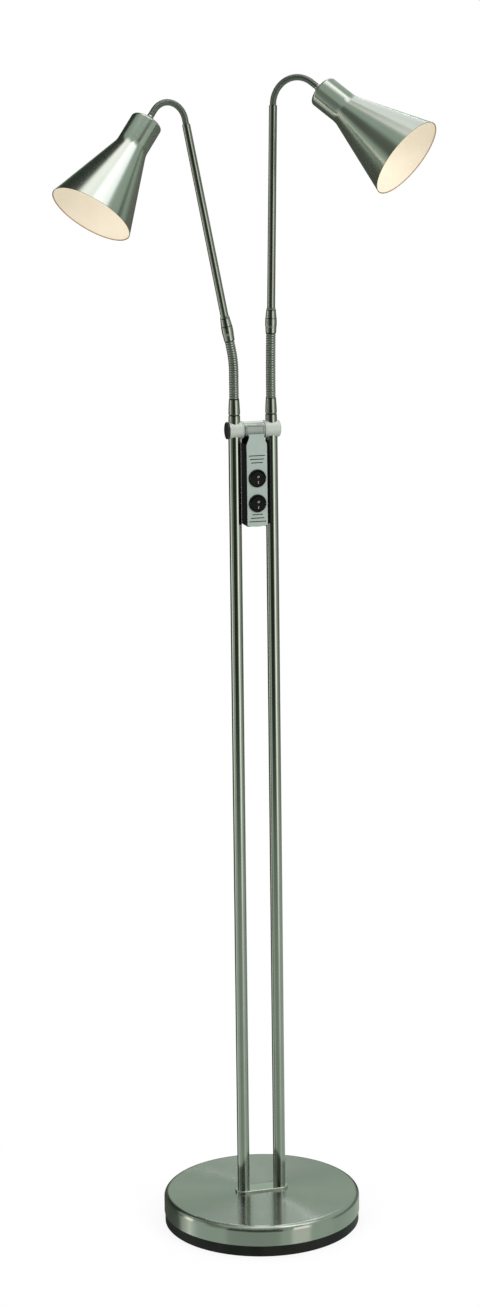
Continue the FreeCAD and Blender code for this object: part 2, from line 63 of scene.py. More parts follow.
camera = bpy.data.objects.new("photo_camera", bpy.data.cameras.new("photo_camera"))
scene.collection.objects.link(camera)
camera.matrix_world = (Matrix.Translation(CAMERA_PLACE)
                       @ Matrix.Rotation(CAMERA_HEADING, 4, "Z")
                       @ Matrix.Rotation(CAMERA_TILT, 4, "X")
                       @ Matrix.Rotation(CAMERA_ROLL, 4, "Z"))
camera.data.lens = CAMERA_LENS
camera.data.sensor_width = 36.0
camera.data.shift_y = FRAME_SHIFT
camera.data.clip_start = 0.1
camera.data.clip_end = 60.0
scene.camera = camera
scene.view_settings.view_transform = "Standard"


# ---------------------------------------------------------------- white studio
# The lamp stands on a pale floor in a white room. A large tent round it, which only shiny
# surfaces see, has dark and bright cards on it that draw the long bands on the metal.
class Wire:
    """One output socket of a shader tree. Arithmetic on it adds Math nodes, and node() adds
    any other node to the same tree."""

    def __init__(self, tree, socket=None):
        self.tree = tree
        self.socket = socket

    def node(self, kind, settings=None, inputs=None, output=0):
        made = self.tree.nodes.new(kind)
        for key, value in (settings or {}).items():
            setattr(made, key, value)
        for key, value in (inputs or {}).items():
            if isinstance(value, Wire):
                self.tree.links.new(value.socket, made.inputs[key])
            else:
                made.inputs[key].default_value = value
        return Wire(self.tree, made.outputs[output] if made.outputs else None)

    def part(self, name):
        return Wire(self.tree, self.socket.node.outputs[name])

    def math(self, operation, *values):
        return self.node("ShaderNodeMath", {"operation": operation}, dict(enumerate(values)))

    def fade(self, start, end):
        """0 at start, 1 at end, and smooth between them."""
        return self.node("ShaderNodeMapRange", {"interpolation_type": "SMOOTHSTEP"},
                         {"Value": self, "From Min": start, "From Max": end})

    def mix(self, first, second):
        """The first colour where this mask is 0, the second where it is 1."""
        pair = [c if isinstance(c, Wire) else (*c, 1) for c in (first, second)]
        return self.node("ShaderNodeMix", {"data_type": "RGBA"},
                         {0: self, 6: pair[0], 7: pair[1]}, 2)

    def __add__(self, other):
        return self.math("ADD", self, other)

    def __sub__(self, other):
        return self.math("SUBTRACT", self, other)

    def __rsub__(self, other):
        return self.math("SUBTRACT", other, self)

    def __mul__(self, other):
        return self.math("MULTIPLY", self, other)

    def __truediv__(self, other):
        return self.math("DIVIDE", self, other)

    def __abs__(self):
        return self.math("ABSOLUTE", self)

    __radd__ = __add__
    __rmul__ = __mul__


def new_tree(name):
    material = bpy.data.materials.new(name)
    material.use_nodes = True
    material.node_tree.nodes.clear()
    return material, Wire(material.node_tree)


WHITE = (1.0, 1.0, 1.0)
ROOM_LIGHT = 0.62
FLOOR_R = 0.44
FLOOR_CLEAR_R = 0.24      # from here to its edge the floor melts into the room
FLOOR_WHITE = (0.93, 0.93, 0.93)
FLOOR_GLOW = 0.86         # the paper is lit from below, which leaves only a faint shadow
TENT_R = 6.0
TENT_MIDDLE = Vector((0, 0, 0.7))
TENT_TONE = (0.48, 0.59, 0.50)
# Each card: azimuth and elevation of its middle, half width and half height, soft edge, all
# in degrees seen from the lamp, and its colour.
TENT_CARDS = (
    (0, 90, 180, 15, 6, (1.9, 1.9, 1.85)),
    (72, 52, 17, 22, 4, (1.3, 1.35, 1.35)),
    (-27, 62, 15, 17, 3, (2.2, 2.25, 2.35)),
    (-50, 64, 16, 9, 4, (2.8, 2.8, 2.7)),
    (-61, -3, 11, 19, 3, (1.8, 1.74, 1.55)),
    (-61, -23, 10, 5, 6, (0.8, 0.82, 0.74)),
    (-72, 31, 20, 7, 3, (0.12, 0.12, 0.11)),
    (-116, 5, 31, 25, 3, (0.035, 0.04, 0.032)),
    (-116, -23, 28, 6, 4, (0.33, 0.39, 0.33)),
    (20, -4, 38, 13, 6, (0.20, 0.215, 0.185)),
    (115, 40, 25, 38, 5, (0.04, 0.05, 0.035)),
    (115, -16, 38, 20, 3, (0.09, 0.105, 0.085)),
    (163, -3, 6, 16, 3, (1.9, 1.8, 1.55)),
    (158, -25, 14, 6, 5, (0.78, 0.84, 0.77)),
    (161, -24, 1.5, 5, 1.5, (1.3, 1.3, 1.25)),
    (75, -6, 24, 14, 4, (0.11, 0.11, 0.09)),
    (174, 38, 16, 14, 6, (0.12, 0.13, 0.105)),
    (-160, 15, 12, 24, 6, (0.24, 0.27, 0.23)),
)

world = bpy.data.worlds.new("white_room")
scene.world = world
world.use_nodes = True
world.node_tree.nodes.clear()
room = Wire(world.node_tree)
rays = room.node("ShaderNodeLightPath")
seen = rays.part("Is Camera Ray") + rays.part("Is Glossy Ray") + rays.part("Is Transmission Ray")
backdrop = room.node("ShaderNodeBackground", {}, {"Color": (*WHITE, 1), "Strength": 1.0})
fill = room.node("ShaderNodeBackground", {}, {"Color": (*WHITE, 1), "Strength": ROOM_LIGHT})
room.node("ShaderNodeOutputWorld", {}, {"Surface": room.node(
    "ShaderNodeMixShader", {}, {0: room.math("MINIMUM", seen, 1.0), 1: fill, 2: backdrop})})


def disc_mesh(name, radius, segments=96):
    """Flat round sheet at z = 0."""
    mesh = bpy.data.meshes.new(name)
    ring = [(radius * math.cos(2 * math.pi * k / segments),
             radius * math.sin(2 * math.pi * k / segments), 0) for k in range(segments)]
    mesh.from_pydata(ring, [], [list(range(segments))])
    return mesh


floor_white, tree = new_tree("floor_paper")
place = tree.node("ShaderNodeTexCoord", output="Object")
from_middle = place.node("ShaderNodeVectorMath", {"operation": "LENGTH"}, {0: place}, "Value")
paper = tree.node("ShaderNodeBsdfDiffuse", {}, {"Color": (*FLOOR_WHITE, 1)})
glow = tree.node("ShaderNodeEmission", {}, {"Color": (*WHITE, 1), "Strength": 1.0})
tree.node("ShaderNodeOutputMaterial", {}, {"Surface": tree.node(
    "ShaderNodeMixShader", {}, {
        0: from_middle.fade(FLOOR_CLEAR_R, FLOOR_R) * (1 - FLOOR_GLOW) + FLOOR_GLOW,
        1: paper, 2: glow})})
floor = bpy.data.objects.new("floor", disc_mesh("floor", FLOOR_R))
floor.data.materials.append(floor_white)
scene.collection.objects.link(floor)
floor.visible_glossy = False

tent_cloth, tree = new_tree("tent_cloth")
place = tree.node("ShaderNodeTexCoord", output="Object")
split = tree.node("ShaderNodeSeparateXYZ", {}, {0: place})
east, north, up = split.part("X"), split.part("Y"), split.part("Z")
elevation = tree.math("ARCSINE", up / TENT_R)
tone = TENT_TONE
for azimuth, height, half_width, half_height, soft, colour in TENT_CARDS:
    c, s = math.cos(math.radians(azimuth)), math.sin(math.radians(azimuth))
    turn = tree.math("ARCTAN2", north * c - east * s, east * c + north * s)
    across = abs(turn)
    along = abs(elevation - math.radians(height))
    edge = math.radians(soft)
    wide, tall = math.radians(half_width), math.radians(half_height)
    mask = across.fade(wide + edge, wide - edge) * along.fade(tall + edge, tall - edge)
    tone = mask.mix(tone, colour)
tree.node("ShaderNodeOutputMaterial", {}, {"Surface": tree.node(
    "ShaderNodeEmission", {}, {"Color": tone, "Strength": 1.0})})


def dome_mesh(name, radius, rows=24, columns=48):
    """Sphere round the origin in rows from the top to the bottom."""
    vertices, faces = [], []
    for i in range(rows + 1):
        polar = math.pi * i / rows
        for k in range(columns):
            angle = 2 * math.pi * k / columns
            vertices.append((radius * math.sin(polar) * math.cos(angle),
                             radius * math.sin(polar) * math.sin(angle),
                             radius * math.cos(polar)))
    for i in range(rows):
        for k in range(columns):
            a, b = i * columns + k, i * columns + (k + 1) % columns
            faces.append((a, b, b + columns, a + columns))
    mesh = bpy.data.meshes.new(name)
    mesh.from_pydata(vertices, [], faces)
    return mesh


tent = bpy.data.objects.new("reflection_tent", dome_mesh("reflection_tent", TENT_R))
tent.data.materials.append(tent_cloth)
tent.location = TENT_MIDDLE
scene.collection.objects.link(tent)
tent.visible_camera = False
tent.visible_diffuse = False
tent.visible_transmission = False
tent.visible_shadow = False

# Soft boxes for the pieces that aren't shiny: place, size in metres and power in watts.
SOFT_BOXES = (
    (Vector((1.6, -2.6, 2.6)), 1.6, 46),
    (Vector((-2.4, -1.6, 2.0)), 1.8, 26),
    (Vector((0.3, 0.6, 3.2)), 2.0, 30),
)
SOFT_BOX_AIM = Vector((0, 0, 0.8))
for k, (spot, size, power) in enumerate(SOFT_BOXES):
    light = bpy.data.lights.new(f"soft_box_{k + 1}", "AREA")
    light.size = size
    light.energy = power
    soft_box = bpy.data.objects.new(light.name, light)
    soft_box.location = spot
    soft_box.rotation_euler = (SOFT_BOX_AIM - spot).to_track_quat("-Z", "Y").to_euler()
    soft_box.visible_glossy = False
    scene.collection.objects.link(soft_box)

# A long thin lamp that only shiny surfaces see draws the streak over the base's turned top: the
# azimuth and elevation of its ends, its distance and width in metres and its power in watts.
STRIP_ENDS = ((69.5, 32), (60, 43.5))
STRIP_DISTANCE = 4.0
STRIP_WIDTH = 0.06
STRIP_POWER = 0.6


def sky_point(azimuth, height, distance):
    flat = distance * math.cos(math.radians(height))
    return Vector((flat * math.cos(math.radians(azimuth)), flat * math.sin(math.radians(azimuth)),
                   distance * math.sin(math.radians(height))))


strip_foot, strip_head = (sky_point(*end, STRIP_DISTANCE) for end in STRIP_ENDS)
strip_middle = (strip_foot + strip_head) / 2
along_strip = (strip_head - strip_foot).normalized()
from_base = strip_middle.normalized()
light = bpy.data.lights.new("strip_lamp", "AREA")
light.shape = "RECTANGLE"
light.size = (strip_head - strip_foot).length
light.size_y = STRIP_WIDTH
light.energy = STRIP_POWER
strip_lamp = bpy.data.objects.new(light.name, light)
strip_lamp.matrix_world = Matrix.Translation(strip_middle) @ Matrix(
    (along_strip, from_base.cross(along_strip), from_base)).transposed().to_4x4()
strip_lamp.visible_diffuse = False
scene.collection.objects.link(strip_lamp)


# ---------------------------------------------------------------- base
# A cast weight between a closing plate and a spun steel cover. The cover is turned on a
# lathe, so its satin finish runs in rings; the foot below it is a moulded black ring.
NICKEL = (0.47, 0.49, 0.45)
NICKEL_WORN = (0.40, 0.42, 0.385)
# Dark colour for the dark seams of turned pieces and for the painted shade in hose grooves.
SEAM_AND_SHADE_DARK = (0.03, 0.032, 0.028)
MARKS_SCALE = 34.0        # handling marks are about this many to the metre
STREAK_SHARE = 0.6        # part of the colour's change that the grain gives, marks the rest
SCRATCH_DEPTH = 0.0001
LATHE_LINES = 1900.0      # turned lines to the metre


def dress(material, *names):
    """Gives CAD nodes their material."""
    for name in names:
        nodes[name].data.materials.clear()
        nodes[name].data.materials.append(material)


def finish_metal(tree, colour, worn, streak, roughness, spread=0.1, relief=0.1, seams_and_shade=None,
                 **constants):
    """Satin metal: streak is a 0 to 1 grain that shifts colour and roughness and cuts fine
    lines; a broad cloud adds handling marks, and the optional mask darkens dark seams and adds
    painted shade in grooves."""
    place = tree.node("ShaderNodeTexCoord", output="Object")
    cloud = tree.node("ShaderNodeTexNoise", {}, {"Vector": place, "Scale": MARKS_SCALE,
                                                 "Detail": 3.0})
    shade = streak * STREAK_SHARE + cloud * (1 - STREAK_SHARE)
    grain = tree.node("ShaderNodeBump", {}, {"Strength": relief, "Distance": SCRATCH_DEPTH,
                                             "Height": streak})
    tone = shade.fade(0.25, 0.75).mix(worn, colour)
    if seams_and_shade is not None:
        tone = seams_and_shade.mix(tone, SEAM_AND_SHADE_DARK)
    inputs = {"Base Color": tone, "Metallic": 1.0,
              "Roughness": roughness + (streak - 0.5) * spread + (cloud - 0.5) * spread,
              "Normal": grain}
    inputs.update(constants)
    tree.node("ShaderNodeOutputMaterial", {}, {"Surface": tree.node(
        "ShaderNodeBsdfPrincipled", {}, inputs)})


def line_noise(tree, place, scale):
    """Noise in thin parallel lines: it varies only along one measure."""
    return tree.node("ShaderNodeTexNoise", {"noise_dimensions": "1D"},
                     {"W": place * scale, "Detail": 4.0})


spun_cover, tree = new_tree("spun_nickel")
place = tree.node("ShaderNodeTexCoord", output="Object")
split = tree.node("ShaderNodeSeparateXYZ", {}, {0: place})
ring_radius = tree.math("SQRT", split.part("X") * split.part("X")
                        + split.part("Y") * split.part("Y"))
lathe_marks = line_noise(tree, ring_radius + split.part("Z"), LATHE_LINES)
finish_metal(tree, NICKEL, NICKEL_WORN, lathe_marks, roughness=0.20, spread=0.05, relief=0.02,
             **{"Anisotropic": 0.97, "Anisotropic Rotation": 0.25})
dress(spun_cover, "base_cover")


def finish_plastic(name, colour, rubbed, roughness, bump, scale, sheen=0.5):
    """Moulded or cast skin of so many grains to the metre, a little paler where rubbed."""
    material, tree = new_tree(name)
    place = tree.node("ShaderNodeTexCoord", output="Object")
    skin = tree.node("ShaderNodeTexNoise", {}, {"Vector": place, "Scale": scale, "Detail": 5.0})
    cloud = tree.node("ShaderNodeTexNoise", {}, {"Vector": place, "Scale": 45.0, "Detail": 2.0})
    grain = tree.node("ShaderNodeBump", {}, {"Strength": bump, "Distance": 0.0002,
                                             "Height": skin})
    tree.node("ShaderNodeOutputMaterial", {}, {"Surface": tree.node(
        "ShaderNodeBsdfPrincipled", {}, {
            "Base Color": cloud.fade(0.3, 0.75).mix(colour, rubbed),
            "Roughness": roughness + (skin - 0.5) * 0.2 + (cloud - 0.5) * 0.1,
            "Specular IOR Level": sheen, "Normal": grain})})
    return material


foot_black = finish_plastic("foot_black", (0.006, 0.0065, 0.0055), (0.012, 0.012, 0.0105),
                            roughness=0.45, bump=0.25, scale=900.0, sheen=0.2)
dress(foot_black, "foot_ring", "cord_inlet_grommet")
pad_foam = finish_plastic("pad_foam", (0.05, 0.05, 0.05), (0.08, 0.08, 0.078),
                          roughness=0.9, bump=0.6, scale=1600.0)
dress(pad_foam, "underside_pad")
cast_grey = finish_plastic("cast_grey", (0.13, 0.13, 0.125), (0.2, 0.19, 0.18),
                           roughness=0.8, bump=0.8, scale=420.0)
dress(cast_grey, "base_weight", "weight_standoffs")


# ---------------------------------------------------------------- poles and flange
# Two drawn steel tubes stand in a stamped flange plate, clamped by threaded tubes through
# the weight. They are polished lengthwise and plated in satin nickel.
DRAWN_LINES = 1500.0      # drawn lines to the metre, across the tube
DRAWN_STRETCH = 0.01      # and along it, as a share of that
DRAWN_RELIEF = 0.03


def drawn_tube(name, colour, worn, roughness, axis="Z", spread=0.06, seams_and_shade=None):
    """Grain that runs along a tube: it varies round the tube and hardly along it. The optional
    mask maker gives, from the place on the piece, a mask of dark seams or of painted shade in
    grooves."""
    material, tree = new_tree(name)
    place = tree.node("ShaderNodeTexCoord", output="Object")
    long_way = [DRAWN_LINES] * 3
    long_way["XYZ".index(axis)] = DRAWN_LINES * DRAWN_STRETCH
    stretched = tree.node("ShaderNodeMapping", {}, {"Vector": place, "Scale": long_way})
    streak = tree.node("ShaderNodeTexNoise", {}, {"Vector": stretched, "Scale": 1.0,
                                                  "Detail": 3.0})
    finish_metal(tree, colour, worn, streak, roughness, spread, DRAWN_RELIEF,
                 seams_and_shade(place) if seams_and_shade else None)
    return material


pole_nickel = drawn_tube("pole_nickel", NICKEL, NICKEL_WORN, 0.11, spread=0.04)
dress(pole_nickel, "left_pole", "right_pole")
# Painted highlight: the flange's nickel is a lighter copy of the poles' nickel, standing in for
# the bright light on its rim.
lit_flange_nickel = drawn_tube("lit_flange_nickel", (0.62, 0.64, 0.59), (0.54, 0.56, 0.52), 0.2,
                           axis="X")
dress(lit_flange_nickel, "flange_plate")
plain_steel = drawn_tube("plain_steel", (0.42, 0.42, 0.41), (0.34, 0.34, 0.33), 0.35)
dress(plain_steel, "pole_nipples", "pole_bushes", "pole_washers", "pole_nuts", "bottom_plate")


# ---------------------------------------------------------------- cross bar
# A core tube ties the pole heads together. Satin silver collars slide over its ends, a
# sleeve fills the middle, and a curved saddle strip carries the switch plate's neck.
SILVER = (0.56, 0.59, 0.55)
SILVER_RUBBED = (0.50, 0.53, 0.49)
END_BLACK = (0.007, 0.008, 0.007)
BLACK_LIP_X = (-0.0314, -0.0318)  # the black end disc laps over the collar's end from here
# Painted shade in the switch plate's grooves, below a height and behind its face.
PLATE_GROOVE_SHADE = (0.06, 0.065, 0.058)
GROOVES_TOP = 0.994       # the plate has its grooves below this height
GROOVES_FADE = 0.004
GROOVE_SHADE_DEPTH = (0.0002, 0.0006)     # behind the face, where the painted shade starts and is full
# Colour of the scribed line, and of the painted shade along the panel's border.
SCRIBED_LINE_AND_BORDER_SHADE = (0.12, 0.135, 0.12)
SCRIBED_FROM = (0.0010, 0.0014)   # the line's two edges, as distances from the panel's border
SCRIBED_TO = (0.0022, 0.0018)
BORDER_SHADE = (0.0005, 0.0002)   # the border is painted darker too, as shade in the gap round the panel


def silver_lacquer(name, colour, rubbed, roughness, metallic, groove_face=None, black_end=None,
                   panel=None):
    """Metallic lacquer: fine flake under a satin clear coat. Grooves behind the given face
    get painted shade, an end may be black, and a panel has a line scribed inside its border and
    painted shade along the border."""
    material, tree = new_tree(name)
    place = tree.node("ShaderNodeTexCoord", output="Object")
    flake = tree.node("ShaderNodeTexNoise", {}, {"Vector": place, "Scale": 2400.0, "Detail": 2.0})
    cloud = tree.node("ShaderNodeTexNoise", {}, {"Vector": place, "Scale": 60.0, "Detail": 3.0})
    grain = tree.node("ShaderNodeBump", {}, {"Strength": 0.08, "Distance": SCRATCH_DEPTH,
                                             "Height": flake})
    split = tree.node("ShaderNodeSeparateXYZ", {}, {0: place})
    tone = (flake * 0.5 + cloud * 0.5).fade(0.3, 0.7).mix(rubbed, colour)
    if groove_face is not None:
        # painted shade in the grooves behind the face
        deep = split.part("Y").fade(*(groove_face + depth for depth in GROOVE_SHADE_DEPTH))
        low = split.part("Z").fade(GROOVES_TOP + GROOVES_FADE, GROOVES_TOP)
        tone = (deep * low).mix(tone, PLATE_GROOVE_SHADE)
    if panel is not None:
        half_x, half_z, middle_z = panel
        inset = tree.math("MINIMUM", half_x - abs(split.part("X")),
                          half_z - abs(split.part("Z") - middle_z))
        # the scribed line, and painted shade along the border
        scribed = inset.fade(*SCRIBED_FROM) * inset.fade(*SCRIBED_TO)
        tone = (scribed + inset.fade(*BORDER_SHADE)).mix(tone, SCRIBED_LINE_AND_BORDER_SHADE)
    if black_end is not None:
        end = split.part("X").fade(*black_end)
        tone = end.mix(tone, END_BLACK)
        metallic = (1 - end) * metallic
    tree.node("ShaderNodeOutputMaterial", {}, {"Surface": tree.node(
        "ShaderNodeBsdfPrincipled", {}, {
            "Base Color": tone, "Metallic": metallic,
            "Roughness": roughness + (cloud - 0.5) * 0.12,
            "Coat Weight": 0.15, "Coat Roughness": 0.3, "Normal": grain})})
    return material


collar_silver = silver_lacquer("collar_silver", SILVER, SILVER_RUBBED,
                               roughness=0.42, metallic=0.35)
dress(collar_silver, "right_collar", "right_end_cap")
sleeve_nickel = drawn_tube("sleeve_nickel", (0.62, 0.64, 0.60), (0.54, 0.56, 0.52), 0.28,
                           axis="X")
dress(sleeve_nickel, "cross_tube_sleeve", "cross_tube_core")
left_collar_silver = silver_lacquer("left_collar_silver", SILVER, SILVER_RUBBED,
                                    roughness=0.42, metallic=0.35, black_end=BLACK_LIP_X)
dress(left_collar_silver, "left_collar")
cap_black = finish_plastic("cap_black", END_BLACK, (0.014, 0.015, 0.013),
                           roughness=0.4, bump=0.2, scale=1100.0, sheen=0.2)
dress(cap_black, "left_end_cap")


# ---------------------------------------------------------------- switch housing
# A stamped plate in silver lacquer closes a moulded black box that hangs behind its neck.
# Three short grooves above and below the switches decorate the plate.
PLATE_FACE_Y = -0.017
SADDLE_PANEL = (0.0123, 0.0065, 1.0224)   # half width, half height, height of its middle
# The plate's grooves get painted shade.
plate_silver = silver_lacquer("plate_silver", (0.41, 0.48, 0.44), (0.365, 0.43, 0.39),
                              roughness=0.5, metallic=0.2, groove_face=PLATE_FACE_Y)
dress(plate_silver, "switch_front_plate")
# The saddle's panel has a scribed line and painted shade along its border.
saddle_silver = silver_lacquer("saddle_silver", (0.34, 0.38, 0.35), (0.29, 0.33, 0.30),
                               roughness=0.45, metallic=0.3, panel=SADDLE_PANEL)
dress(saddle_silver, "front_saddle")
housing_black = finish_plastic("housing_black", (0.006, 0.0065, 0.006), (0.012, 0.012, 0.011),
                               roughness=0.42, bump=0.25, scale=1000.0, sheen=0.15)
dress(housing_black, "switch_housing", "terminal_block")
dress(plain_steel, "housing_screws")


# ---------------------------------------------------------------- rocker switches
# Round snap-in rocker switches in glossy black nylon. Their buttons carry the usual printed
# circle for off and bar for on.
SWITCH_HEIGHTS = {"upper": 0.9633, "lower": 0.9319}
PIVOT_Y = -0.0173
ROCKER_REST = math.radians(9)
FACE_VALLEY = 0.0017      # the button's face is this far before the pivot in the middle
FACE_SLOPE = 0.17         # and rises this much for each unit away from the middle
PRINT_LIFT = 0.00006
PRINT_X = 0.0009
OFF_RING_Z, OFF_RING_R, OFF_RING_WIDTH = 0.0024, 0.00115, 0.0005
ON_BAR_Z, ON_BAR_WIDTH, ON_BAR_HEIGHT = -0.0047, 0.0006, 0.0036

gloss_black = finish_plastic("rocker_black", (0.004, 0.0045, 0.004), (0.008, 0.008, 0.0075),
                             roughness=0.16, bump=0.05, scale=700.0, sheen=0.1)
dress(gloss_black, "upper_rocker", "lower_rocker", "upper_switch_body", "lower_switch_body")
dress(plain_steel, "upper_rocker_pin", "lower_rocker_pin")
print_white = finish_plastic("print_white", (0.56, 0.57, 0.54), (0.44, 0.45, 0.43),
                             roughness=0.5, bump=0.1, scale=1500.0)


def ring_band(middle, radius, width, steps=24):
    """Flat ring in the plane of the button, as corner pairs from inside out."""
    band = []
    for k in range(steps + 1):
        angle = 2 * math.pi * k / steps
        for r in (radius - width / 2, radius + width / 2):
            band.append((middle[0] + r * math.cos(angle), middle[1] + r * math.sin(angle)))
    return band


def bar_band(middle, width, height, steps=4):
    """Flat upright bar, as corner pairs from the bottom up."""
    return [(middle[0] + side * width / 2, middle[1] + height * (k / steps - 0.5))
            for k in range(steps + 1) for side in (-1, 1)]


PRINTS = (
    ("off_mark", ring_band((PRINT_X, OFF_RING_Z), OFF_RING_R, OFF_RING_WIDTH)),
    ("on_mark", bar_band((PRINT_X, ON_BAR_Z), ON_BAR_WIDTH, ON_BAR_HEIGHT)),
)
for switch, height in SWITCH_HEIGHTS.items():
    pivot = Vector((0, PIVOT_Y, height))
    rest = Matrix.Rotation(ROCKER_REST, 3, "X")
    for mark, band in PRINTS:
        mesh = bpy.data.meshes.new(f"{switch}_{mark}")
        points = [pivot + rest @ Vector((x, -FACE_VALLEY - FACE_SLOPE * abs(z) - PRINT_LIFT, z))
                  for x, z in band]
        quads = [(k, k + 1, k + 3, k + 2) for k in range(0, len(band) - 2, 2)]
        mesh.from_pydata(points, [], quads)
        mesh.materials.append(print_white)
        piece = bpy.data.objects.new(mesh.name, mesh)
        scene.collection.objects.link(piece)
        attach(piece, f"{switch}_rocker_button")


# ---------------------------------------------------------------- ferrules and arm tubes
# Turned and drawn nickel-plated pieces: a coped ring on the cross bar, a ferrule that grips
# the gooseneck, a bullet-shaped ferrule above it, and the thin straight arm tube.
FERRULE_FINISH = ((0.43, 0.44, 0.405), (0.36, 0.37, 0.34), 0.2)   # colour, worn, roughness
RING_SEAMS = (1.0414, 1.0610)     # heights of the ring's and the lower ferrule's seams
RING_SEAM_HALF = 0.0005
BULLET_SEAMS = (0.0004, 0.0185, 0.0285)   # up from the upper ferrule's foot
BULLET_SEAM_HALF = 0.0004
SEAM_SOFTNESS = 0.4
UP = Vector((0, 0, 1))


def seams(point, axis, heights, half_width):
    """Mask of dark seams round a turned piece, at distances from a point along its axis."""
    def mask(place):
        height = place.node("ShaderNodeVectorMath", {"operation": "DOT_PRODUCT"},
                            {0: place, 1: tuple(axis)}, "Value") - point.dot(axis)
        lines = 0.0
        for seam in heights:
            gap = height - seam
            lines = abs(gap).fade((1 + SEAM_SOFTNESS) * half_width,
                                  (1 - SEAM_SOFTNESS) * half_width) + lines
        return lines
    return mask


ring_nickel = drawn_tube("ring_nickel", *FERRULE_FINISH,
                         seams_and_shade=seams(Vector((0, 0, 0)), UP, RING_SEAMS, RING_SEAM_HALF))
ferrule_nickel = drawn_tube("ferrule_nickel", *FERRULE_FINISH)
arm_nickel = drawn_tube("arm_nickel", (0.36, 0.37, 0.335), (0.30, 0.31, 0.28), 0.22)
for side in ("left", "right"):
    dress(ring_nickel, f"{side}_arm_ring", f"{side}_lower_ferrule")
    dress(ferrule_nickel, f"{side}_hook_ferrule")
    dress(arm_nickel, f"{side}_arm_tube")
    dress(plain_steel, f"{side}_arm_nipple", f"{side}_neck_plug", f"{side}_shade_nut")


# ---------------------------------------------------------------- goosenecks
# A gooseneck is a strip of steel wound into a flexible hose, so its ribs climb as a helix.
# Each arm has a thick one above the cross bar and a thin one that hooks over to the shade.
POLE_X = 0.0238
NECK_FOOT_Z = 1.0615
NECK_R = 0.00605
NECK_PITCH = 0.003
NECK_RIB_DEPTH = 0.0009
NECK_END_RUN = 0.0121     # straight stretch at a neck's upper end
FERRULE_H = 0.0314
HOOK_R = 0.004
HOOK_PITCH = 0.0017
HOOK_RIB_DEPTH = 0.0005
HOOK_TUCK = 0.006         # length of a hook's ends inside the arm tube and the shade
GROOVE_SHARPNESS = 1.5    # above 1, a groove is narrower than the rib beside it
# Painted shade in the hose grooves: the groove value where it starts and is full, and how dark it
# gets.
GROOVE_SHADE_FROM, GROOVE_SHADE_FULL, GROOVE_SHADE_AMOUNT = 0.15, 0.9, 0.9
# Each arm: which side, length of its neck and of the neck's straight foot, lean of the arm in
# degrees, length of its tube, the hook's straight start, bend radius and straight end, and the
# heading and droop of its shade in degrees.
ARMS = {
    "left": dict(side=-1, neck=0.073, run=0.033, lean=10.9, tube=0.241,
                 hook=(0.0063, 0.0259, 0.0167), heading=205.5, droop=50.3),
    "right": dict(side=1, neck=0.080, run=0.0122, lean=1.2, tube=0.250,
                  hook=(0.001, 0.0336, 0.0173), heading=-45.0, droop=35.2),
}


def follow(start, ahead, side, pieces, distance):
    """Point and direction at a distance along straight runs and arcs in one plane. A piece is
    (length, angle), and it bends towards side by that angle."""
    normal = ahead.cross(side)
    here = start.copy()
    for length, angle in pieces:
        toward = normal.cross(ahead)
        step = min(distance, length)
        if angle:
            radius = length / angle
            turn = step / radius
            here += ahead * radius * math.sin(turn) + toward * radius * (1 - math.cos(turn))
            ahead = ahead * math.cos(turn) + toward * math.sin(turn)
        else:
            here += ahead * step
        distance -= step
        if distance <= 0:
            break
    return here, ahead


def wound_hose(name, route, first, last, radius, pitch, depth, material, around=32, per_rib=8):
    """Hose mesh along a route between two distances. Its ribs climb one pitch a turn."""
    start, ahead, side, pieces = route
    normal = ahead.cross(side).normalized()
    count = round((last - first) / pitch * per_rib)
    vertices, faces, grooves = [], [], []
    for i in range(count + 1):
        distance = first + (last - first) * i / count
        point, tangent = follow(start, ahead, side, pieces, distance)
        binormal = tangent.cross(normal)
        for k in range(around):
            turn = k / around
            phase = (distance / pitch + turn) % 1.0
            groove = max(0.0, math.cos(2 * math.pi * phase)) ** GROOVE_SHARPNESS
            grooves.append(groove)
            angle = 2 * math.pi * turn
            out = normal * math.cos(angle) + binormal * math.sin(angle)
            vertices.append(point + out * (radius - depth * groove))
    for i in range(count):
        for k in range(around):
            a, b = i * around + k, i * around + (k + 1) % around
            faces.append((a, b, b + around, a + around))
    faces.append(list(range(around))[::-1])
    faces.append(list(range(count * around, (count + 1) * around)))
    mesh = bpy.data.meshes.new(name)
    mesh.from_pydata(vertices, [], faces)
    mesh.attributes.new("groove", "FLOAT", "POINT").data.foreach_set("value", grooves)
    mesh.shade_smooth()
    mesh.materials.append(material)
    hose = bpy.data.objects.new(name, mesh)
    scene.collection.objects.link(hose)
    return hose


def painted_groove_shade(place):
    """Painted shade in the hose's grooves, from the depth kept on its mesh."""
    depth = place.node("ShaderNodeAttribute", {"attribute_name": "groove"}, output=2)
    return depth.fade(GROOVE_SHADE_FROM, GROOVE_SHADE_FULL) * GROOVE_SHADE_AMOUNT
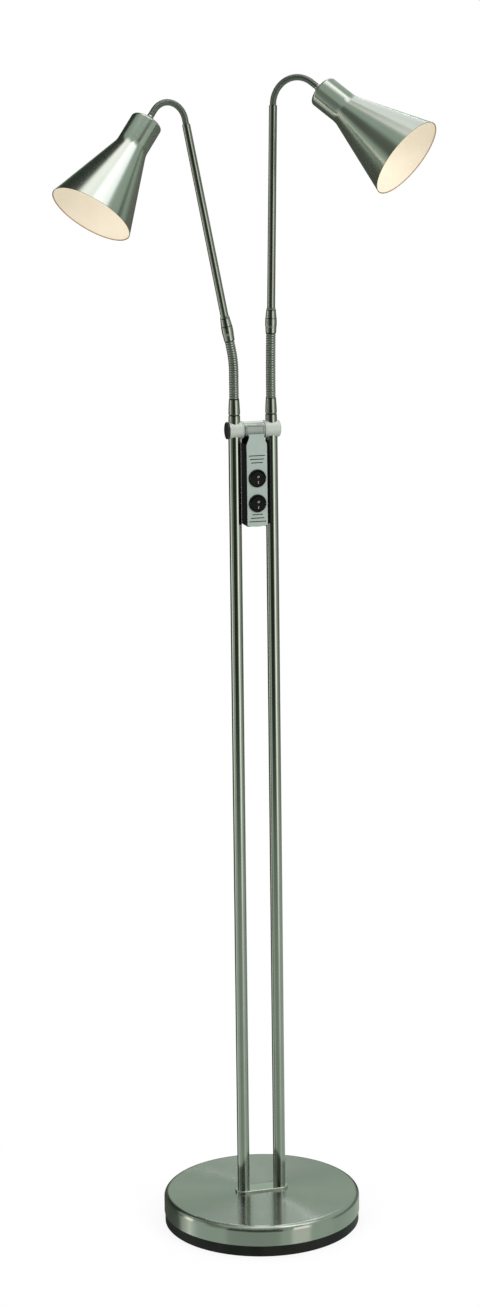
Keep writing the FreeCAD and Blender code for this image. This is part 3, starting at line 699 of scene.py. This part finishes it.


# The necks' and hooks' grooves are painted darker, as shade between the ribs.
neck_steel = drawn_tube("neck_steel", (0.44, 0.45, 0.42), (0.36, 0.37, 0.34), 0.22,
                        seams_and_shade=painted_groove_shade)
hook_steel = drawn_tube("hook_steel", (0.29, 0.30, 0.275), (0.22, 0.23, 0.21), 0.26,
                        seams_and_shade=painted_groove_shade)
shade_places = {}
for arm, size in ARMS.items():
    outward = Vector((size["side"], 0, 0))
    lean = math.radians(size["lean"])
    foot = Vector((size["side"] * POLE_X, 0, NECK_FOOT_Z))
    bend = size["neck"] - size["run"] - NECK_END_RUN
    neck_route = (foot, UP, outward, ((size["run"], 0), (bend, lean), (NECK_END_RUN, 0)))
    half = size["neck"] / 2
    middle, _ = follow(*neck_route, half)
    tip, ahead = follow(*neck_route, size["neck"])
    lower = wound_hose(f"{arm}_wound_neck_lower", neck_route, 0, half, NECK_R, NECK_PITCH,
                       NECK_RIB_DEPTH, neck_steel)
    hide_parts(f"{arm}_gooseneck_lower")
    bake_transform(lower)
    upper = wound_hose(f"{arm}_wound_neck_upper", neck_route, half, size["neck"], NECK_R,
                       NECK_PITCH, NECK_RIB_DEPTH, neck_steel)
    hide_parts(f"{arm}_gooseneck_upper")
    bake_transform(upper)

    bullet_nickel = drawn_tube(f"{arm}_bullet_nickel", *FERRULE_FINISH,
                               seams_and_shade=seams(tip, ahead, BULLET_SEAMS, BULLET_SEAM_HALF))
    dress(bullet_nickel, f"{arm}_upper_ferrule")

    crown = tip + ahead * (FERRULE_H + size["tube"])
    heading, droop = math.radians(size["heading"]), math.radians(size["droop"])
    aim = Vector((math.cos(droop) * math.cos(heading), math.cos(droop) * math.sin(heading),
                  -math.sin(droop)))
    toward = (aim - ahead * aim.dot(ahead)).normalized()
    first, radius, last = size["hook"]
    turn = ahead.angle(aim)
    hook_route = (crown - ahead * HOOK_TUCK, ahead, toward,
                  ((first + HOOK_TUCK, 0), (radius * turn, turn), (last + HOOK_TUCK, 0)))
    length = first + radius * turn + last
    cup, _ = follow(*hook_route, HOOK_TUCK + length)
    hook = wound_hose(f"{arm}_wound_hook", hook_route, 0, length + 2 * HOOK_TUCK, HOOK_R,
                      HOOK_PITCH, HOOK_RIB_DEPTH, hook_steel, around=24, per_rib=6)
    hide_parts(f"{arm}_hook")
    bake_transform(hook)
    shade_places[arm] = (cup, aim)


# ---------------------------------------------------------------- shades
# Spun steel shades, satin nickel outside and cream enamel inside. The enamel has a painted glow
# # that stands in for the bulb's light, and the bare edge where the enamel stops, with a thin
# band of
# # enamel beside it, is painted warm brown as a painted reflection of the cream inside.
# # A ceramic holder and a frosted bulb sit in each cup.
SHADE_CUP_R = 0.0201
SHADE_CUP_H = 0.0404
SHADE_MOUTH_R = 0.053
SHADE_H = 0.140
SHADE_T = 0.0009
SHADE_SHOULDER_R = 0.004
SHADE_WAIST_R = 0.030
SHADE_HOLE_R = 0.0052
SHARP_ANGLE = math.radians(40)
SPUN_LINES = 1500.0       # turned lines to the metre of height
CROWN_STEPS, WAIST_STEPS, CONE_STEPS = 8, 10, 12
OUTSIDE, INSIDE, EDGE = 0, 1, 2   # material slots


def arc_points(centre, radius, start, end, steps):
    """Points on an arc in the (radius, height) plane, angles in radians from +radius."""
    return [(centre[0] + radius * math.cos(start + (end - start) * k / steps),
             centre[1] + radius * math.sin(start + (end - start) * k / steps))
            for k in range(steps + 1)]


def shade_outline(inset):
    """Half section of the shade's skin from the crown to the mouth, moved in by the inset."""
    slope = math.atan2(SHADE_MOUTH_R - SHADE_CUP_R, SHADE_H - SHADE_CUP_H)
    wall = SHADE_CUP_R - inset
    shoulder = SHADE_SHOULDER_R - inset
    waist = SHADE_WAIST_R + inset
    reach = waist * math.tan(slope / 2)
    crown = arc_points((SHADE_CUP_R - SHADE_SHOULDER_R, SHADE_SHOULDER_R), shoulder,
                       -math.pi / 2, 0, CROWN_STEPS)
    bend = arc_points((wall + waist, SHADE_CUP_H - reach), waist, math.pi, math.pi - slope,
                      WAIST_STEPS)
    mouth = (bend[-1][0] + (SHADE_H - bend[-1][1]) * math.tan(slope), SHADE_H)
    cone = [(bend[-1][0] + (mouth[0] - bend[-1][0]) * k / CONE_STEPS,
             bend[-1][1] + (mouth[1] - bend[-1][1]) * k / CONE_STEPS)
            for k in range(1, CONE_STEPS + 1)]
    return crown + bend + cone


def lathe(name, outline, kinds, materials, segments=160):
    """Closed lathe mesh about Z from (radius, height) points; kinds gives each band's
    material."""
    turns = [2 * math.pi * k / segments for k in range(segments)]
    vertices = [(r * math.cos(turn), r * math.sin(turn), h) for r, h in outline for turn in turns]
    count = len(outline)
    faces, slots = [], []
    for i in range(count):
        here, after = i * segments, (i + 1) % count * segments
        for k in range(segments):
            beside = (k + 1) % segments
            faces.append((here + k, here + beside, after + beside, after + k))
            slots.append(kinds[i])
    mesh = bpy.data.meshes.new(name)
    mesh.from_pydata(vertices, [], faces)
    mesh.polygons.foreach_set("material_index", slots)
    for material in materials:
        mesh.materials.append(material)
    mesh.shade_smooth()
    mesh.set_sharp_from_angle(angle=SHARP_ANGLE)
    return mesh


shade_nickel, tree = new_tree("shade_nickel")
place = tree.node("ShaderNodeTexCoord", output="Object")
split = tree.node("ShaderNodeSeparateXYZ", {}, {0: place})
finish_metal(tree, (0.50, 0.52, 0.475), (0.44, 0.46, 0.42),
             line_noise(tree, split.part("Z"), SPUN_LINES), roughness=0.22, spread=0.05,
             relief=0.02, **{"Anisotropic": 0.45, "Anisotropic Rotation": 0.25})

# Painted light: the enamel glows a little, as a stand-in for the bulb's light falling on it.
ENAMEL_PAINTED_GLOW = 0.225
BULB_GLOW = 0.4
DEEP_CREAM_FROM = 0.6     # share of the shade's height where the enamel starts to deepen
RIM_REFLECTION_BAND = 0.0014         # painted reflection: a thin brown band on the enamel next to the bare edge
RIM_REFLECTION_FULL = 0.3       # share of the band that is fully brown
enamel, tree = new_tree("cream_enamel")
place = tree.node("ShaderNodeTexCoord", output="Object")
cloud = tree.node("ShaderNodeTexNoise", {}, {"Vector": place, "Scale": 40.0, "Detail": 3.0})
orange_peel = tree.node("ShaderNodeTexNoise", {}, {"Vector": place, "Scale": 500.0,
                                                   "Detail": 1.0})
depth = tree.node("ShaderNodeSeparateXYZ", {}, {0: place}).part("Z")
cream = cloud.fade(0.3, 0.7).mix((0.80, 0.75, 0.64), (0.83, 0.78, 0.67))
cream = depth.fade(DEEP_CREAM_FROM * SHADE_H, SHADE_H).mix(cream, (0.78, 0.71, 0.58))
# Painted reflection of the cream inside on the rim, as a brown band on the enamel.
cream = depth.fade(SHADE_H - RIM_REFLECTION_BAND, SHADE_H - RIM_REFLECTION_FULL * RIM_REFLECTION_BAND).mix(
    cream, (0.42, 0.24, 0.10))
# The enamel's emission is painted light from the bulb.
tree.node("ShaderNodeOutputMaterial", {}, {"Surface": tree.node("ShaderNodeBsdfPrincipled", {}, {
    "Base Color": cream, "Roughness": 0.4 + (cloud - 0.5) * 0.1, "Emission Color": cream,
    "Emission Strength": ENAMEL_PAINTED_GLOW, "Normal": tree.node(
        "ShaderNodeBump", {}, {"Strength": 0.1, "Distance": 0.0002, "Height": orange_peel})})})

# The bare edge where the enamel stops is painted warm brown, a painted reflection of the cream
# inside.
painted_rim_reflection = drawn_tube("painted_rim_reflection", (0.36, 0.21, 0.10), (0.27, 0.15, 0.07), 0.35)

outer = [(SHADE_HOLE_R, 0.0)] + shade_outline(0.0)
inner = shade_outline(SHADE_T)[::-1] + [(SHADE_HOLE_R, SHADE_T)]
kinds = [OUTSIDE] * (len(outer) - 1) + [EDGE] + [INSIDE] * (len(inner) - 1) + [EDGE]
for arm, (cup, aim) in shade_places.items():
    shade = bpy.data.objects.new(f"{arm}_spun_shade", lathe(
        f"{arm}_spun_shade", outer + inner, kinds, (shade_nickel, enamel, painted_rim_reflection)))
    scene.collection.objects.link(shade)
    turned = aim.to_track_quat("Z", "Y").to_matrix().to_4x4()
    shade.matrix_world = Matrix.Translation(cup) @ turned
    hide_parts(f"{arm}_shade")
    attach(shade, f"{arm}_head")

ceramic = finish_plastic("holder_ceramic", (0.78, 0.76, 0.70), (0.70, 0.68, 0.62),
                         roughness=0.3, bump=0.05, scale=300.0)
frosted, tree = new_tree("frosted_glass")
place = tree.node("ShaderNodeTexCoord", output="Object")
frost = tree.node("ShaderNodeTexNoise", {}, {"Vector": place, "Scale": 900.0, "Detail": 2.0})
warm = frost.fade(0.2, 0.8).mix((0.95, 0.88, 0.74), (1.0, 0.94, 0.82))
tree.node("ShaderNodeOutputMaterial", {}, {"Surface": tree.node("ShaderNodeBsdfPrincipled", {}, {
    "Base Color": warm, "Roughness": 0.35 + frost * 0.1, "Emission Color": warm,
    "Emission Strength": BULB_GLOW})})
for side in ("left", "right"):
    dress(ceramic, f"{side}_lampholder")
    dress(frosted, f"{side}_bulb")
